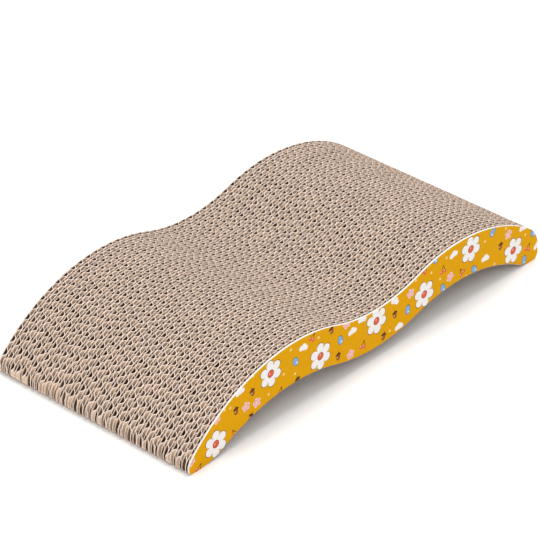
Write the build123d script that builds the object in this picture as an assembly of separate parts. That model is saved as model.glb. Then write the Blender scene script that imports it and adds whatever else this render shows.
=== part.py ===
from build123d import *
from math import atan2, degrees, hypot, sin, tan
from typing import NamedTuple
import os

# Wave-shaped scratching pad. Strips of double-wall corrugated board stand on edge, side by side, and are
# glued face to face between two printed side panels. The flutes run up and down, so their cells are open
# on the scratching surface and underneath. X runs along the pad, Y across the strips and Z up. The origin
# is on the floor, under the middle of the pad. Sizes are in millimetres.

# Wave profile, which every strip and both panels share
HEIGHT = 64.5             # floor to the top of each crest
CREST_X = 100.5           # middle of the saddle to the top of each crest
SADDLE_DEPTH = 17.0       # crest top down to the middle of the saddle
ARCH_RISE = 26.5          # floor to the top of the arch under each crest
BELLY_CLEARANCE = 11.5    # floor to the underside of the saddle


class End(NamedTuple):
    """One end of the wave."""

    reach: float          # middle of the saddle to the tip
    nose_radius: float    # rounding from the crest's outer slope to the upright tip
    nose_height: float    # floor to the place where the nose is upright
    corner_radius: float  # rounding from the upright tip to the floor
    foot_flat: float      # length of the flat that the foot stands on
    foot_radius: float    # rounding from the foot's flat into the arch


# The near end runs out to a thin toe, the far end is shorter and blunt.
NEAR_END = End(reach=220, nose_radius=11, nose_height=6, corner_radius=4.5, foot_flat=5, foot_radius=70)
FAR_END = End(reach=210, nose_radius=30, nose_height=10, corner_radius=6, foot_flat=4, foot_radius=30)

# Corrugated board, from its front: liner, fine flutes, liner, coarse flutes, liner
STRIP_COUNT = 32
LINER = 0.4               # each flat paper
MEDIUM = 0.3              # fluted paper
COARSE_HEIGHT = 3.3       # clear space between the liners of the coarse flutes
COARSE_PITCH = 8.6        # one whole coarse flute along the pad
FLUTE_FLAT = 2.0          # length of a flute's top that is glued to a liner
FINE_HEIGHT = 2.0         # the fine flutes' layer, whose cells are left closed
END_PAPER = 0.6           # least paper left between the last cell and the end
FLUTE_STARTS = 4          # boards come off the sheet with their flutes in this many positions

# Printed side panels
PANEL_THICKNESS = 1.0

# Sizes that follow
LENGTH = NEAR_END.reach + FAR_END.reach
SADDLE_X = (NEAR_END.reach - FAR_END.reach) / 2
BOARD = 3 * LINER + COARSE_HEIGHT + FINE_HEIGHT
CORE_WIDTH = STRIP_COUNT * BOARD


def toward(start, end, distance):
    """Point at a distance from start, on the line to end."""
    run = hypot(end[0] - start[0], end[1] - start[1])
    share = distance / run
    return (start[0] + share * (end[0] - start[0]), start[1] + share * (end[1] - start[1]))


def tangent_arcs(points, direction):
    """Arcs through the points, each leaving in the direction in which the last one arrived."""
    arcs = []
    for start, end in zip(points[:-1], points[1:]):
        arc = TangentArc(start, end, tangent=direction)
        arcs.append(arc)
        direction = arc % 1
    return arcs


def half_outline(end):
    """Edges of half the side view, from the middle of the saddle round one end to the belly under it."""
    saddle = (0, HEIGHT - SADDLE_DEPTH)
    saddle_bend = (CREST_X / 2, HEIGHT - SADDLE_DEPTH / 2)
    crest = (CREST_X, HEIGHT)
    # The crest's outer slope is one arc that meets the nose.
    nose_centre = (end.reach - end.nose_radius, end.nose_height)
    nose_run = nose_centre[0] - CREST_X
    nose_drop = HEIGHT - end.nose_height
    slope_radius = (nose_run**2 + nose_drop**2 - end.nose_radius**2) / (2 * (nose_drop - end.nose_radius))
    slope_centre = (CREST_X, HEIGHT - slope_radius)
    slope_end = toward(slope_centre, nose_centre, slope_radius)
    nose_end = (end.reach, end.nose_height)
    top = tangent_arcs([saddle, saddle_bend, crest, slope_end, nose_end], (1, 0))

    corner_start = (end.reach, end.corner_radius)
    corner_end = (end.reach - end.corner_radius, 0)
    corner = tangent_arcs([corner_start, corner_end], (0, -1))

    # The arch's outer side is one arc that meets the foot's rounding.
    foot_end = (corner_end[0] - end.foot_flat, 0)
    foot_centre = (foot_end[0], end.foot_radius)
    foot_run = foot_centre[0] - CREST_X
    foot_lift = end.foot_radius - ARCH_RISE
    arch_radius = (foot_run**2 + foot_lift**2 - end.foot_radius**2) / (2 * ARCH_RISE)
    arch_centre = (CREST_X, ARCH_RISE - arch_radius)
    arch_end = toward(foot_centre, arch_centre, end.foot_radius)
    arch = (CREST_X, ARCH_RISE)
    belly_bend = (CREST_X / 2, (ARCH_RISE + BELLY_CLEARANCE) / 2)
    belly = (0, BELLY_CLEARANCE)
    underside = tangent_arcs([foot_end, arch_end, arch, belly_bend, belly], (-1, 0))
    return top + [Line(nose_end, corner_start)] + corner + [Line(corner_end, foot_end)] + underside


def wave_face():
    """Side view of the pad, with its length along local X and its height along local Y."""
    near_half = [edge.mirror(Plane.YZ) for edge in half_outline(NEAR_END)]
    return Pos(SADDLE_X, 0) * make_face(half_outline(FAR_END) + near_half)


def wave_block(thickness):
    """The wave profile, standing, as thick as asked about the middle plane."""
    return extrude(Plane.XZ * wave_face(), amount=thickness / 2, both=True)


def flute_cells(start):
    """Cells of the coarse flutes seen from above, on one side of the fluted paper and then the other."""
    leg_angle = atan2(COARSE_HEIGHT - MEDIUM, COARSE_PITCH / 2 - FLUTE_FLAT)
    base = COARSE_PITCH / 2 - MEDIUM / sin(leg_angle) + COARSE_HEIGHT / tan(leg_angle)
    cell = Trapezoid(base, COARSE_HEIGHT - MEDIUM, degrees(leg_angle), align=(Align.CENTER, Align.MIN))
    middle_liner = -BOARD / 2 + LINER + FINE_HEIGHT + LINER
    far_liner = middle_liner + COARSE_HEIGHT
    reach = LENGTH / 2 - END_PAPER - base / 2
    steps = int(LENGTH / COARSE_PITCH)
    cells = []
    for step in range(-steps, steps + 1):
        x = start + step * COARSE_PITCH / 2
        if abs(x) > reach:
            continue
        if step % 2 == 0:
            cells.append(Pos(x, middle_liner) * cell)
        else:
            cells.append(Pos(x, far_liner) * Rot(0, 0, 180) * cell)
    return cells


def board_strip(start):
    """One strip of board cut to the wave, about the middle plane, with its flutes' cells open."""
    section = Rectangle(LENGTH, BOARD) - flute_cells(start)
    return extrude(section, amount=HEIGHT) & wave_block(BOARD)


def save(shape, name):
    """Write one sub-part under its own name."""
    shape.label = name
    export_step(shape, f"parts/{name}.step", write_pcurves=False)


os.makedirs("parts", exist_ok=True)

kinds = [board_strip(COARSE_PITCH * kind / FLUTE_STARTS) for kind in range(FLUTE_STARTS)]
for index in range(STRIP_COUNT):
    y = -CORE_WIDTH / 2 + (index + 0.5) * BOARD
    save(Pos(0, y, 0) * kinds[index % FLUTE_STARTS], f"board_strip_{index + 1:02d}")

panel = wave_block(PANEL_THICKNESS)
panel_y = (CORE_WIDTH + PANEL_THICKNESS) / 2
save(Pos(0, -panel_y, 0) * panel, "printed_panel_front")
save(Pos(0, panel_y, 0) * panel, "printed_panel_back")
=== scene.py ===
import math
import random
from typing import NamedTuple

import bpy
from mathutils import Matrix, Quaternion, Vector
from mathutils.geometry import delaunay_2d_cdt


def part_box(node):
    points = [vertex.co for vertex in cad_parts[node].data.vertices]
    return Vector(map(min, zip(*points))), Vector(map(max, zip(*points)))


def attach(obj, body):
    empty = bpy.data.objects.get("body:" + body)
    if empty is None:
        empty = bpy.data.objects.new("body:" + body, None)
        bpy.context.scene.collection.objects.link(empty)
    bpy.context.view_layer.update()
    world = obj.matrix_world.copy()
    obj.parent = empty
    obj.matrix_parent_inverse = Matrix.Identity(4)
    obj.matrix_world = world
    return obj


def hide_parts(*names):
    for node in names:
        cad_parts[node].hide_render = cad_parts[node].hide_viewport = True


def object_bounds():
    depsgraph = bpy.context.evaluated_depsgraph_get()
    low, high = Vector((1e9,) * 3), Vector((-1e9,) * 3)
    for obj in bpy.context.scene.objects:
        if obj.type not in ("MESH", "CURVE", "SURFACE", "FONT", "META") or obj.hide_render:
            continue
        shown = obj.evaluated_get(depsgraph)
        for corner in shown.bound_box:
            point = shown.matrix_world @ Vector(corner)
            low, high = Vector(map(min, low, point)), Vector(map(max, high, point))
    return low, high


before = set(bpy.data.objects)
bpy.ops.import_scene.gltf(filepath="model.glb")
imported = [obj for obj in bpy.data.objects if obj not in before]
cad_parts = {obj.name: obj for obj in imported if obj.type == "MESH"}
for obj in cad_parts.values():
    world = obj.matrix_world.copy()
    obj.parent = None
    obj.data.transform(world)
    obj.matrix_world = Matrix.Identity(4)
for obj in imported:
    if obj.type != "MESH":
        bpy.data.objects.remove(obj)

cad_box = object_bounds()
MM = 0.001

# Wave profile, the same as the solids'
LENGTH = cad_box[1].x - cad_box[0].x
HEIGHT = cad_box[1].z
CREST_X = 100.5 * MM            # from the middle of the saddle
SADDLE_Z = HEIGHT - 17.0 * MM
ARCH_Z = 26.5 * MM
BELLY_Z = 11.5 * MM

# Corrugated board
STRIP_COUNT = 32
STRIP_SEED = 100                # the first strip's seed is one more, and so on
OUTER_LINER = 0.28 * MM
MIDDLE_LINER = 0.4 * MM
COARSE_PITCH = 8.6 * MM
COARSE_MEDIUM = 0.36 * MM
FINE_HEIGHT = 2.0 * MM
FINE_PITCH = 6.4 * MM
FINE_MEDIUM = 0.22 * MM
SEAM = 0.1 * MM                 # half the glue line between two strips
STRIP_SINK = 0.15 * MM          # how far a strip may sit below its neighbours
FRAY = 0.08 * MM                # how far the cut edges fall short of the wave
PAINTED_LIGHT_DEPTH = 0.45 * MM               # depth of the paler band beside a cut, square to the scratching surface: painted light at the cells' mouths, with the walls below left darker as painted shade

# Shape of the flutes
FLUTE_SQUARENESS = 2.6          # 0 for a plain wave, more for longer flats and steeper legs
FLUTE_BIAS = 0.2                # how much longer the flats on the far liner are
FLUTE_LEAN = 0.15               # most that the legs lean to one side
DRIFT_COUNT = 3                 # slow waves that make the spacing uneven
DRIFT_AMOUNT = (0.05, 0.2)      # least and most shift by one of them, in radians of a flute
DRIFT_LENGTH = (20 * MM, 60 * MM)
DRIFT_START = 6.28              # range of their starts, about one turn

# Tints of the papers, where more is paler; the walls' tints also carry painted light and shade
# Liner walls sit near the nearly black end of the wall paper: partly their own darker tone, partly painted
# shade in the cells. Fluted papers' walls are paler: partly their own tone, partly painted light on their
# lit faces.
LINER_WALL_TONE_AND_SHADE = (0.0, 0.1)
FLUTE_WALL_TONE_AND_LIGHT = (0.45, 0.65)
LINER_PAINTED_LIGHT_TINT = 0.25         # how much paler the painted light band beside a cut is on the liners
FLUTE_PAINTED_LIGHT_TINT = 0.5          # and on the fluted papers
OUTER_CUT_TINT = 0.4
MIDDLE_CUT_TINT = 0.8
FINE_CUT_TINT = 0.3
COARSE_CUT_TINT = 0.7
CUT_TINT_SPREAD = 0.2

# Mesh of the papers
FLUTE_STEPS = 12                # columns in one flute
LINER_STEP = 4.0 * MM
CLOSE_ANGLES = range(5, 90, 8)  # degrees round the ends at which columns are added
LEVELS = 4                      # points up each side of a column: the two cuts and the inner ends of the painted light bands beside them
WALL_SLOT = 0
CUT_SLOT = 1
SHARP_ANGLE = math.radians(40)

# Printed panels
PANEL_BEVEL = 0.25 * MM
DAISY_STEP = 61.0 * MM
DAISY_SHIFT = 4.0               # most millimetres along the pad from an even step
DAISY_OFFSET = (5.0, 8.0)       # least and most millimetres above or below the panel's middle line
SMALL_MOTIF_COUNT = 64
SCATTER_TRIES = 6000
MOTIF_GAP = 2.2 * MM
MOTIF_TURN = 0.7                # most radians that a motif is turned
INSIDE_ONLY = 1                 # the triangulation keeps what lies in a shape
MERGE_DISTANCE = 1e-7

# Camera, fitted to the photograph and then widened a little, to take in more of the near back corner
CAMERA_AZIMUTH = math.radians(-48.16)
CAMERA_ELEVATION = math.radians(32.08)
CAMERA_ROLL = math.radians(0.49)
CAMERA_DISTANCE = 2.541
CAMERA_TARGET = Vector((-0.0065, 0.0009, 0.0445))
CAMERA_LENS = 207.8
CAMERA_SENSOR = 36.0

# Studio
FLOOR_REACH = 12.0
WORLD_STRENGTH = 0.5


def round_drop(radius, run):
    """How far a circle falls away from its tangent, at a distance along it."""
    return radius - math.sqrt(max(radius * radius - run * run, 0.0))


def s_curve(x, run, low, high):
    """Height at x of two equal arcs that rise from low at 0 to high at run, level at both ends."""
    rise = high - low
    radius = (run * run + rise * rise) / (4 * rise)
    if x < run / 2:
        return low + round_drop(radius, x)
    return high - round_drop(radius, run - x)


class WaveEnd:
    """One half of the wave, with distances measured from the middle of the saddle."""

    def __init__(self, reach, nose_radius, nose_height, corner_radius, foot_flat, foot_radius):
        self.reach = reach
        self.nose_radius = nose_radius
        self.nose_height = nose_height
        self.corner_radius = corner_radius
        self.foot_radius = foot_radius
        self.nose_x = reach - nose_radius
        self.corner_x = reach - corner_radius
        self.foot_x = self.corner_x - foot_flat
        run = self.nose_x - CREST_X
        drop = HEIGHT - nose_height
        self.slope_radius = (run**2 + drop**2 - nose_radius**2) / (2 * (drop - nose_radius))
        self.slope_end = CREST_X + run * self.slope_radius / (self.slope_radius - nose_radius)
        run = self.foot_x - CREST_X
        lift = foot_radius - ARCH_Z
        self.arch_radius = (run**2 + lift**2 - foot_radius**2) / (2 * ARCH_Z)
        self.arch_end = self.foot_x - run * foot_radius / (self.arch_radius + foot_radius)

    def top(self, x):
        """Height of the scratching surface."""
        if x <= CREST_X:
            return s_curve(x, CREST_X, SADDLE_Z, HEIGHT)
        if x <= self.slope_end:
            return HEIGHT - round_drop(self.slope_radius, x - CREST_X)
        return self.nose_height + self.nose_radius - round_drop(self.nose_radius, x - self.nose_x)

    def bottom(self, x):
        """Height of the underside."""
        if x <= CREST_X:
            return s_curve(x, CREST_X, BELLY_Z, ARCH_Z)
        if x <= self.arch_end:
            return ARCH_Z - round_drop(self.arch_radius, x - CREST_X)
        if x <= self.foot_x:
            return round_drop(self.foot_radius, self.foot_x - x)
        if x <= self.corner_x:
            return 0.0
        return round_drop(self.corner_radius, x - self.corner_x)

    def close_places(self):
        """Places round the nose and the corner, where the outline turns fast."""
        turns = [math.sin(math.radians(angle)) for angle in CLOSE_ANGLES]
        nose = [self.nose_x + self.nose_radius * turn for turn in turns]
        corner = [self.corner_x + self.corner_radius * turn for turn in turns]
        return nose + corner


NEAR_END = WaveEnd(
    reach=220 * MM,
    nose_radius=11 * MM,
    nose_height=6 * MM,
    corner_radius=4.5 * MM,
    foot_flat=5 * MM,
    foot_radius=70 * MM,
)
FAR_END = WaveEnd(
    reach=210 * MM,
    nose_radius=30 * MM,
    nose_height=10 * MM,
    corner_radius=6 * MM,
    foot_flat=4 * MM,
    foot_radius=30 * MM,
)
SADDLE_X = (NEAR_END.reach - FAR_END.reach) / 2


def top_z(x):
    """Height of the scratching surface anywhere along the pad."""
    if x < SADDLE_X:
        return NEAR_END.top(SADDLE_X - x)
    return FAR_END.top(x - SADDLE_X)


def bottom_z(x):
    """Height of the underside anywhere along the pad."""
    if x < SADDLE_X:
        return NEAR_END.bottom(SADDLE_X - x)
    return FAR_END.bottom(x - SADDLE_X)


def within_pad(x):
    """The place itself, or the pad's end if it lies beyond."""
    return max(-LENGTH / 2, min(LENGTH / 2, x))


def cut_slant(x):
    """How much longer a depth below the scratching surface is along an upright flute than square to it."""
    rise = (top_z(within_pad(x + MM)) - top_z(within_pad(x - MM))) / (2 * MM)
    return math.hypot(1, rise)


def columns(step):
    """Places along the pad at an even step, with closer ones at both ends."""
    count = round(LENGTH / step)
    places = [-LENGTH / 2 + LENGTH * i / count for i in range(count + 1)]
    places += [SADDLE_X - x for x in NEAR_END.close_places()]
    places += [SADDLE_X + x for x in FAR_END.close_places()]
    return sorted(places)


class Tints(NamedTuple):
    """Tints of one sheet of paper."""

    wall: float
    # Tint of the band beside each cut: painted light at the cells' mouths, paler than the wall below, which
    # stands as painted shade
    painted_light: float
    cut: float


class MeshParts:
    """Collects points and faces of several sheets for one mesh."""

    def __init__(self):
        self.points = []
        self.faces = []
        self.slots = []
        self.tints = []

    def face(self, corners, tints, slot):
        """One face with a tint at each corner."""
        self.faces.append(corners)
        self.tints += tints
        self.slots.append(slot)

    def add_columns(self, line, thickness, fray):
        """Points of a sheet: for each place on the line, one side from the floor up and then the other."""
        last = len(line) - 1
        for i, (x, y) in enumerate(line):
            before = line[max(i - 1, 0)]
            after = line[min(i + 1, last)]
            run = math.hypot(after[0] - before[0], after[1] - before[1])
            across = (-(after[1] - before[1]) / run, (after[0] - before[0]) / run)
            shortfall = fray()
            for side in (-0.5, 0.5):
                px = within_pad(x + across[0] * side * thickness)
                py = y + across[1] * side * thickness
                low = bottom_z(px)
                high = max(low, top_z(px) - shortfall)
                # Band beside each cut that takes the paler tint: painted light at the cells' mouths, with
                # the wall further in left darker as painted shade
                light_band = min(PAINTED_LIGHT_DEPTH * cut_slant(px), (high - low) / 3)
                self.points += [(px, py, z) for z in (low, low + light_band, high - light_band, high)]

    def sheet(self, line, thickness, tints, fray):
        """A sheet of paper that stands along the line of (x, y), cut to the wave above and below."""
        first = len(self.points)
        self.add_columns(line, thickness, fray)
        # The bands beside the cuts take the painted light tint and the wall between them the darker wall
        # tint, as painted shade in the cells
        level_tints = (tints.painted_light, tints.wall, tints.wall, tints.painted_light)
        cut = [tints.cut] * 4
        top = LEVELS - 1
        column = 2 * LEVELS
        end = first + column * (len(line) - 1)
        for a in range(first, end, column):
            b = a + column
            a_other = a + LEVELS
            b_other = b + LEVELS
            for i in range(top):
                low, high = level_tints[i:i + 2]
                self.face((a + i, b + i, b + i + 1, a + i + 1), [low, low, high, high], WALL_SLOT)
                other_side = (a_other + i, a_other + i + 1, b_other + i + 1, b_other + i)
                self.face(other_side, [low, high, high, low], WALL_SLOT)
            self.face((a + top, b + top, b_other + top, a_other + top), cut, CUT_SLOT)
            self.face((a, a_other, b_other, b), cut, CUT_SLOT)
        first_other = first + LEVELS
        end_other = end + LEVELS
        for i in range(top):
            self.face((first + i, first + i + 1, first_other + i + 1, first_other + i), cut, CUT_SLOT)
            self.face((end + i, end_other + i, end_other + i + 1, end + i + 1), cut, CUT_SLOT)

    def make(self, name, materials):
        """The finished mesh object."""
        mesh = bpy.data.meshes.new(name)
        mesh.from_pydata(self.points, [], self.faces)
        for material in materials:
            mesh.materials.append(material)
        mesh.polygons.foreach_set("material_index", self.slots)
        tint = mesh.attributes.new("tint", "FLOAT", "CORNER")
        tint.data.foreach_set("value", self.tints)
        mesh.validate()
        mesh.shade_smooth()
        mesh.set_sharp_from_angle(angle=SHARP_ANGLE)
        piece = bpy.data.objects.new(name, mesh)
        bpy.context.scene.collection.objects.link(piece)
        return piece


def flute_line(chance, middle, swing_height, pitch):
    """Plan line of a fluted paper between two liners, with uneven spacing and a slight lean."""
    start = chance.random() * 2 * math.pi
    lean = chance.uniform(-FLUTE_LEAN, FLUTE_LEAN)
    drift = []
    for _ in range(DRIFT_COUNT):
        amount = chance.uniform(*DRIFT_AMOUNT)
        length = chance.uniform(*DRIFT_LENGTH)
        drift.append((amount, length, chance.random() * DRIFT_START))
    reach = swing_height / 2 / math.tanh(FLUTE_SQUARENESS)
    line = []
    for x in columns(pitch / FLUTE_STEPS):
        phase = start + 2 * math.pi * x / pitch
        for amount, length, shift in drift:
            phase += amount * math.sin(2 * math.pi * x / length + shift)
        swing = math.sin(phase + lean * math.cos(phase))
        line.append((x, middle + reach * math.tanh(FLUTE_SQUARENESS * (swing + FLUTE_BIAS))))
    return line


def sheet_tints(chance, wall_range, painted_light_tint, cut_tint):
    """Tints of one sheet, with the wall's and the cut's drawn by chance."""
    wall = chance.uniform(*wall_range)
    # The band beside the cuts is painted light: the wall's tint made paler by a set amount
    return Tints(wall, wall + painted_light_tint, cut_tint + chance.uniform(0.0, CUT_TINT_SPREAD))


def board_strip(index, materials):
    """One strip of double-wall board: three liners with fine and coarse flutes between them."""
    chance = random.Random(STRIP_SEED + index)
    node = f"board_strip_{index:02d}"
    low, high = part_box(node)
    fine_from = low.y + SEAM + OUTER_LINER
    fine_to = fine_from + FINE_HEIGHT
    coarse_from = fine_to + MIDDLE_LINER
    coarse_to = high.y - SEAM - OUTER_LINER
    sink = STRIP_SINK * chance.random()

    def fray():
        return sink + max(0.0, chance.gauss(FRAY, FRAY))

    parts = MeshParts()
    front = (low.y + SEAM, OUTER_LINER, OUTER_CUT_TINT)
    middle = (fine_to, MIDDLE_LINER, MIDDLE_CUT_TINT)
    back = (coarse_to, OUTER_LINER, OUTER_CUT_TINT)
    for y, thickness, cut_tint in (front, middle, back):
        line = [(x, y + thickness / 2) for x in columns(LINER_STEP)]
        tints = sheet_tints(chance, LINER_WALL_TONE_AND_SHADE, LINER_PAINTED_LIGHT_TINT, cut_tint)
        parts.sheet(line, thickness, tints, fray)
    fine = (fine_from, fine_to, FINE_PITCH, FINE_MEDIUM, FINE_CUT_TINT)
    coarse = (coarse_from, coarse_to, COARSE_PITCH, COARSE_MEDIUM, COARSE_CUT_TINT)
    for layer_from, layer_to, pitch, thickness, cut_tint in (fine, coarse):
        line = flute_line(chance, (layer_from + layer_to) / 2, layer_to - layer_from - thickness, pitch)
        tints = sheet_tints(chance, FLUTE_WALL_TONE_AND_LIGHT, FLUTE_PAINTED_LIGHT_TINT, cut_tint)
        parts.sheet(line, thickness, tints, fray)
    piece = parts.make(f"strip_{index:02d}", materials)
    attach(piece, "root")
    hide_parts(node)


def new_material(name):
    """A node material and its shader."""
    material = bpy.data.materials.new(name)
    material.use_nodes = True
    return material, material.node_tree.nodes["Principled BSDF"]


def add_node(material, kind, **values):
    """A node with its sockets set by name."""
    node = material.node_tree.nodes.new(kind)
    for key, value in values.items():
        node.inputs[key].default_value = value
    return node


def noise(material, place, **values):
    """Output of a noise pattern read at the place."""
    node = add_node(material, "ShaderNodeTexNoise", **values)
    material.node_tree.links.new(place, node.inputs["Vector"])
    return node.outputs["Fac"]


def weighted_sum(material, part, weight, rest):
    """Output of the part times its weight, plus the rest."""
    node = add_node(material, "ShaderNodeMath")
    node.operation = "MULTIPLY_ADD"
    node.inputs[1].default_value = weight
    material.node_tree.links.new(part, node.inputs[0])
    material.node_tree.links.new(rest, node.inputs[2])
    return node.outputs["Value"]


def colour_by(material, shader, pattern, dark_stop, light_stop):
    """Colour the shader by a pattern, between two stops of (value, colour)."""
    ramp = material.node_tree.nodes.new("ShaderNodeValToRGB")
    for element, (position, colour) in zip(ramp.color_ramp.elements, (dark_stop, light_stop)):
        element.position = position
        element.color = (*colour, 1)
    material.node_tree.links.new(pattern, ramp.inputs["Fac"])
    material.node_tree.links.new(ramp.outputs["Color"], shader.inputs["Base Color"])


def raise_by(material, shader, pattern, strength, distance):
    """Give the shader's surface the relief of a pattern."""
    bump = add_node(material, "ShaderNodeBump", Strength=strength, Distance=distance)
    material.node_tree.links.new(pattern, bump.inputs["Height"])
    material.node_tree.links.new(bump.outputs["Normal"], shader.inputs["Normal"])


def paper_material(name, dark, light, roughness):
    """Kraft paper: fibres and cloudy patches between two tones, shifted by each sheet's tint."""
    material, shader = new_material(name)
    place = material.node_tree.nodes.new("ShaderNodeTexCoord").outputs["Object"]
    stretch = add_node(material, "ShaderNodeMapping", Scale=(1.0, 1.0, 0.25))
    material.node_tree.links.new(place, stretch.inputs["Vector"])
    fibre = noise(material, stretch.outputs["Vector"], Scale=2200.0, Detail=4.0, Roughness=0.7)
    patches = noise(material, place, Scale=70.0, Detail=3.0)
    tint = material.node_tree.nodes.new("ShaderNodeAttribute")
    tint.attribute_name = "tint"
    blend = weighted_sum(material, fibre, 0.5, patches)
    shade = weighted_sum(material, blend, 0.4, tint.outputs["Fac"])
    colour_by(material, shader, shade, (0.3, dark), (1.0, light))
    raise_by(material, shader, fibre, 0.25, 0.2 * MM)
    shader.inputs["Roughness"].default_value = roughness
    shader.inputs["Specular IOR Level"].default_value = 0.2
    return material


def ink_material(name, colour):
    """Printed or bare card: one ink with fine mottling and the card's faint grain under a satin finish."""
    material, shader = new_material(name)
    place = material.node_tree.nodes.new("ShaderNodeTexCoord").outputs["Object"]
    grain = noise(material, place, Scale=900.0, Detail=5.0, Roughness=0.65)
    darker = [channel * 0.93 for channel in colour]
    lighter = [min(1.0, channel * 1.05) for channel in colour]
    colour_by(material, shader, grain, (0.3, darker), (0.7, lighter))
    raise_by(material, shader, grain, 0.12, 0.1 * MM)
    shader.inputs["Roughness"].default_value = 0.6
    shader.inputs["Specular IOR Level"].default_value = 0.04
    return material


def wave_outline(inset):
    """Closed outline of the pad's side view as (x, z), drawn in from the edge by the inset."""
    places = columns(LINER_STEP)
    rim = [(x, top_z(x)) for x in places] + [(x, bottom_z(x)) for x in reversed(places)]
    count = len(rim)
    drawn = []
    for i, (x, z) in enumerate(rim):
        before = rim[i - 1]
        after = rim[(i + 1) % count]
        run = math.hypot(after[0] - before[0], after[1] - before[1])
        drawn.append((x + inset * (after[1] - before[1]) / run, z - inset * (after[0] - before[0]) / run))
    return drawn


# Motifs of the print, each a list of (outline, ink) from the lowest up, in millimetres about its middle
def ring_of(count, radius):
    """Points of a closed curve, where radius gives the reach at each turn from 0 to 1."""
    ring = []
    for i in range(count):
        turn = i / count
        reach = radius(turn)
        ring.append((reach * math.cos(2 * math.pi * turn), reach * math.sin(2 * math.pi * turn)))
    return ring


def grown(shape, factor):
    """A shape scaled about the motif's middle."""
    return [(x * factor, y * factor) for x, y in shape]


def moved(shape, dx, dy):
    """A shape shifted within the motif."""
    return [(x + dx, y + dy) for x, y in shape]


def disc(radius):
    """A round spot."""
    return ring_of(20, lambda turn: radius)


def petals(count, inner, outer):
    """A flower's outline with round petals between two radii."""
    def reach(turn):
        return inner + (outer - inner) * abs(math.cos(math.pi * count * turn)) ** 0.55

    return ring_of(12 * count, reach)


def daisy():
    """A white flower with six petals, a dark outline and a coral middle."""
    flower = petals(6, 7.0, 12.3)
    layers = [(grown(flower, 1.05), "outline"), (flower, "white")]
    layers += [(disc(3.6), "outline"), (disc(3.15), "coral"), (moved(disc(0.8), -0.9, 0.9), "pink")]
    return layers


def blossom():
    """A small pink flower with five petals and a pale middle."""
    flower = petals(5, 1.9, 3.9)
    return [(grown(flower, 1.12), "white"), (flower, "pink"), (disc(1.0), "cream")]


def rain_drop():
    """A blue drop with a pale side."""
    shape = ring_of(36, lambda turn: 2.8 + 2.6 * abs(math.cos(math.pi * (turn - 0.25))) ** 14)
    return [(grown(shape, 1.12), "outline"), (shape, "blue"), (moved(disc(0.9), 0.9, -0.9), "white")]


def acorn():
    """A brown nut under a darker cap."""
    nut = [(0.8 * x, 1.15 * y - 0.6) for x, y in disc(3.0)]
    cap = [(1.05 * x, max(0.0, 0.75 * y) + 0.7) for x, y in disc(3.1)]
    stalk = [(-0.45, 2.6), (0.45, 2.6), (0.7, 4.3), (-0.2, 4.3)]
    return [(nut, "brown"), (moved(disc(0.6), -1.0, -0.9), "cream"), (stalk, "outline"), (cap, "outline")]


def berries():
    """Two coral berries on a forked stalk."""
    stalk = [(-2.2, -1.0), (-1.7, -1.0), (0.0, 2.6), (1.7, -1.0), (2.2, -1.0), (0.3, 4.2), (-0.3, 4.2)]
    layers = [(stalk, "outline")]
    for x in (-2.0, 2.0):
        layers += [(moved(disc(1.9), x, -2.2), "coral"), (moved(disc(0.5), x - 0.6, -1.6), "white")]
    return layers


def cloud():
    """A white cloud of three puffs."""
    puffs = [moved(disc(2.4), -2.6, 0.0), moved(disc(3.1), 0.4, 0.9), moved(disc(2.2), 3.2, -0.1)]
    return [(puff, "white") for puff in puffs]


def spot():
    """A small cream spot."""
    return [(disc(1.2), "cream")]


# Room that each motif takes, as a radius in millimetres, with the small ones in the order they are placed
DAISY_RADIUS = 12.9
SMALL_MOTIFS = [
    (cloud, 5.2),
    (blossom, 4.4),
    (spot, 1.2),
    (rain_drop, 5.0),
    (acorn, 4.2),
    (spot, 1.2),
    (berries, 4.3),
]
INK_COLOURS = {
    "yellow": (0.72, 0.35, 0.0),
    "white": (0.86, 0.84, 0.82),
    "outline": (0.10, 0.035, 0.012),
    "coral": (0.72, 0.12, 0.05),
    "pink": (0.82, 0.42, 0.50),
    "blue": (0.22, 0.42, 0.70),
    "brown": (0.30, 0.10, 0.02),
    "cream": (0.90, 0.66, 0.25),
}


def scatter(chance):
    """Places of the motifs on a panel as (motif, x, z), the small ones in what the daisies leave."""
    placed = []
    count = int(LENGTH / DAISY_STEP)
    for i in range(count):
        x = (i - (count - 1) / 2) * DAISY_STEP + chance.uniform(-DAISY_SHIFT, DAISY_SHIFT) * MM
        side = 1 if i % 2 else -1
        z = (top_z(x) + bottom_z(x)) / 2 + side * chance.uniform(*DAISY_OFFSET) * MM
        placed.append((daisy, DAISY_RADIUS * MM, x, z))
    small = 0
    for _ in range(SCATTER_TRIES):
        motif, radius = SMALL_MOTIFS[small % len(SMALL_MOTIFS)]
        x = chance.uniform(-LENGTH / 2, LENGTH / 2)
        z = chance.uniform(0.0, HEIGHT)
        if not bottom_z(x) < z < top_z(x):
            continue
        room = radius * MM + MOTIF_GAP
        if all(math.hypot(x - px, z - pz) > room + reach for _, reach, px, pz in placed):
            placed.append((motif, radius * MM, x, z))
            small += 1
        if small == SMALL_MOTIF_COUNT:
            break
    return [(motif, x, z) for motif, _, x, z in placed]


def print_shapes(seed):
    """The print's shapes on a panel as (points, ink), the lower ones first."""
    chance = random.Random(seed)
    shapes = []
    for motif, x, z in scatter(chance):
        turn = chance.uniform(-MOTIF_TURN, MOTIF_TURN)
        cosine = MM * math.cos(turn)
        sine = MM * math.sin(turn)
        for shape, ink in motif():
            points = [(x + px * cosine - pz * sine, z + px * sine + pz * cosine) for px, pz in shape]
            shapes.append((points, ink))
    return shapes


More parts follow.
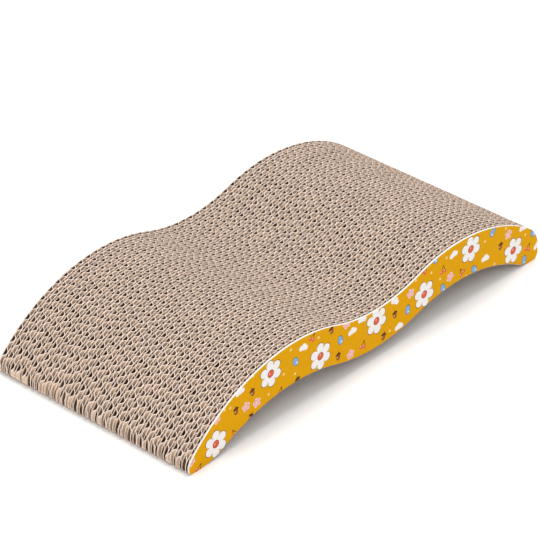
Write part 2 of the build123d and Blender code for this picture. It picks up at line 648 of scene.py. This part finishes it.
def printed_face(outline, shapes):
    """The outline cut up by the print's shapes: points, triangles and the ink of each triangle."""
    points = []
    faces = []
    for shape in [list(reversed(outline))] + [shape for shape, _ in shapes]:
        faces.append(list(range(len(points), len(points) + len(shape))))
        points += [Vector(point) for point in shape]
    made = delaunay_2d_cdt(points, [], faces, INSIDE_ONLY, MERGE_DISTANCE, True)
    made_points, _, made_triangles, _, _, made_from = made
    triangles = []
    inks = []
    # Shape 0 is the panel itself. The last of the others that a triangle lies in shows.
    for triangle, sources in zip(made_triangles, made_from):
        if 0 in sources:
            shown = max(sources)
            triangles.append(triangle)
            inks.append("yellow" if shown == 0 else shapes[shown - 1][1])
    # Points of motifs that the panel's edge cuts off are dropped.
    used = sorted({corner for triangle in triangles for corner in triangle})
    number = {corner: i for i, corner in enumerate(used)}
    kept = [tuple(number[corner] for corner in triangle) for triangle in triangles]
    return [made_points[corner] for corner in used], kept, inks


def side_panel(node, outer_side, inks, seed):
    """A printed panel: white card whose outer face carries the print, with a soft white rim."""
    low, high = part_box(node)
    outer_y, inner_y = (low.y, high.y) if outer_side < 0 else (high.y, low.y)
    rim_y = outer_y - outer_side * PANEL_BEVEL
    edge = wave_outline(0.0)
    face_edge = wave_outline(PANEL_BEVEL)
    count = len(edge)
    names = list(inks)
    points = [(x, inner_y, z) for x, z in edge]
    points += [(x, rim_y, z) for x, z in edge]
    points += [(x, outer_y, z) for x, z in face_edge]
    faces = []
    for i in range(count):
        j = (i + 1) % count
        faces.append((i, j, count + j, count + i))
        faces.append((count + i, count + j, 2 * count + j, 2 * count + i))
    faces.append(tuple(range(count - 1, -1, -1)))
    slots = [names.index("white")] * len(faces)
    face_points, triangles, colours = printed_face(face_edge, print_shapes(seed))
    first = len(points)
    points += [(x, outer_y, z) for x, z in face_points]
    faces += [tuple(first + corner for corner in triangle) for triangle in triangles]
    slots += [names.index(colour) for colour in colours]
    if outer_side > 0:
        faces = [tuple(reversed(face)) for face in faces]
    mesh = bpy.data.meshes.new(node + "_card")
    mesh.from_pydata(points, [], faces)
    for ink in inks.values():
        mesh.materials.append(ink)
    mesh.polygons.foreach_set("material_index", slots)
    piece = bpy.data.objects.new(node + "_card", mesh)
    bpy.context.scene.collection.objects.link(piece)
    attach(piece, "root")
    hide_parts(node)


def area_light(name, place, size, power, colour):
    """A soft square lamp that points at the pad."""
    lamp = bpy.data.lights.new(name, "AREA")
    lamp.size = size
    lamp.energy = power
    lamp.color = colour
    holder = bpy.data.objects.new(name, lamp)
    holder.location = place
    holder.rotation_euler = (CAMERA_TARGET - Vector(place)).to_track_quat("-Z", "Y").to_euler()
    bpy.context.scene.collection.objects.link(holder)


# Materials
# The wall paper's dark stop is nearly black; the liners' low tints use it as painted shade in the cells
wall_paper = paper_material(
    "kraft_wall",
    dark=(0.06, 0.025, 0.009),
    light=(0.93, 0.685, 0.50),
    roughness=0.9,
)
cut_paper = paper_material(
    "kraft_cut_edge",
    dark=(0.60, 0.465, 0.385),
    light=(0.95, 0.81, 0.72),
    roughness=0.95,
)
inks = {name: ink_material(name + "_ink", colour) for name, colour in INK_COLOURS.items()}

# The pad
for strip in range(1, STRIP_COUNT + 1):
    board_strip(strip, [wall_paper, cut_paper])
side_panel("printed_panel_front", outer_side=-1, inks=inks, seed=4)
side_panel("printed_panel_back", outer_side=1, inks=inks, seed=9)

# Floor
corners = [(x * FLOOR_REACH, y * FLOOR_REACH, 0) for x, y in ((-1, -1), (1, -1), (1, 1), (-1, 1))]
floor_mesh = bpy.data.meshes.new("floor")
floor_mesh.from_pydata(corners, [], [(0, 1, 2, 3)])
floor = bpy.data.objects.new("floor", floor_mesh)
floor_mesh.materials.append(ink_material("floor_paint", (0.9, 0.9, 0.9)))
bpy.context.scene.collection.objects.link(floor)

# Light: a wide lamp overhead and a faintly warm one beside the camera
world = bpy.data.worlds.new("studio")
bpy.context.scene.world = world
world.use_nodes = True
world.node_tree.nodes["Background"].inputs["Color"].default_value = (1, 1, 1, 1)
world.node_tree.nodes["Background"].inputs["Strength"].default_value = WORLD_STRENGTH
area_light("key_light", place=(1.8, 0.5, 6.4), size=4.0, power=345.0, colour=(1.0, 1.0, 1.0))
area_light("front_fill", place=(-2.2, -2.2, 3.2), size=3.0, power=70.0, colour=(1.0, 0.96, 0.91))
bpy.context.scene.view_settings.view_transform = "Standard"

# Camera
camera_data = bpy.data.cameras.new("camera")
camera_data.lens = CAMERA_LENS
camera_data.sensor_width = CAMERA_SENSOR
camera = bpy.data.objects.new("camera", camera_data)
back = Vector((
    math.sin(CAMERA_AZIMUTH) * math.cos(CAMERA_ELEVATION),
    -math.cos(CAMERA_AZIMUTH) * math.cos(CAMERA_ELEVATION),
    math.sin(CAMERA_ELEVATION),
))
camera.location = CAMERA_TARGET + CAMERA_DISTANCE * back
aim = (-back).to_track_quat("-Z", "Y")
camera.rotation_euler = (aim @ Quaternion((0, 0, 1), CAMERA_ROLL)).to_euler()
bpy.context.scene.collection.objects.link(camera)
bpy.context.scene.camera = camera
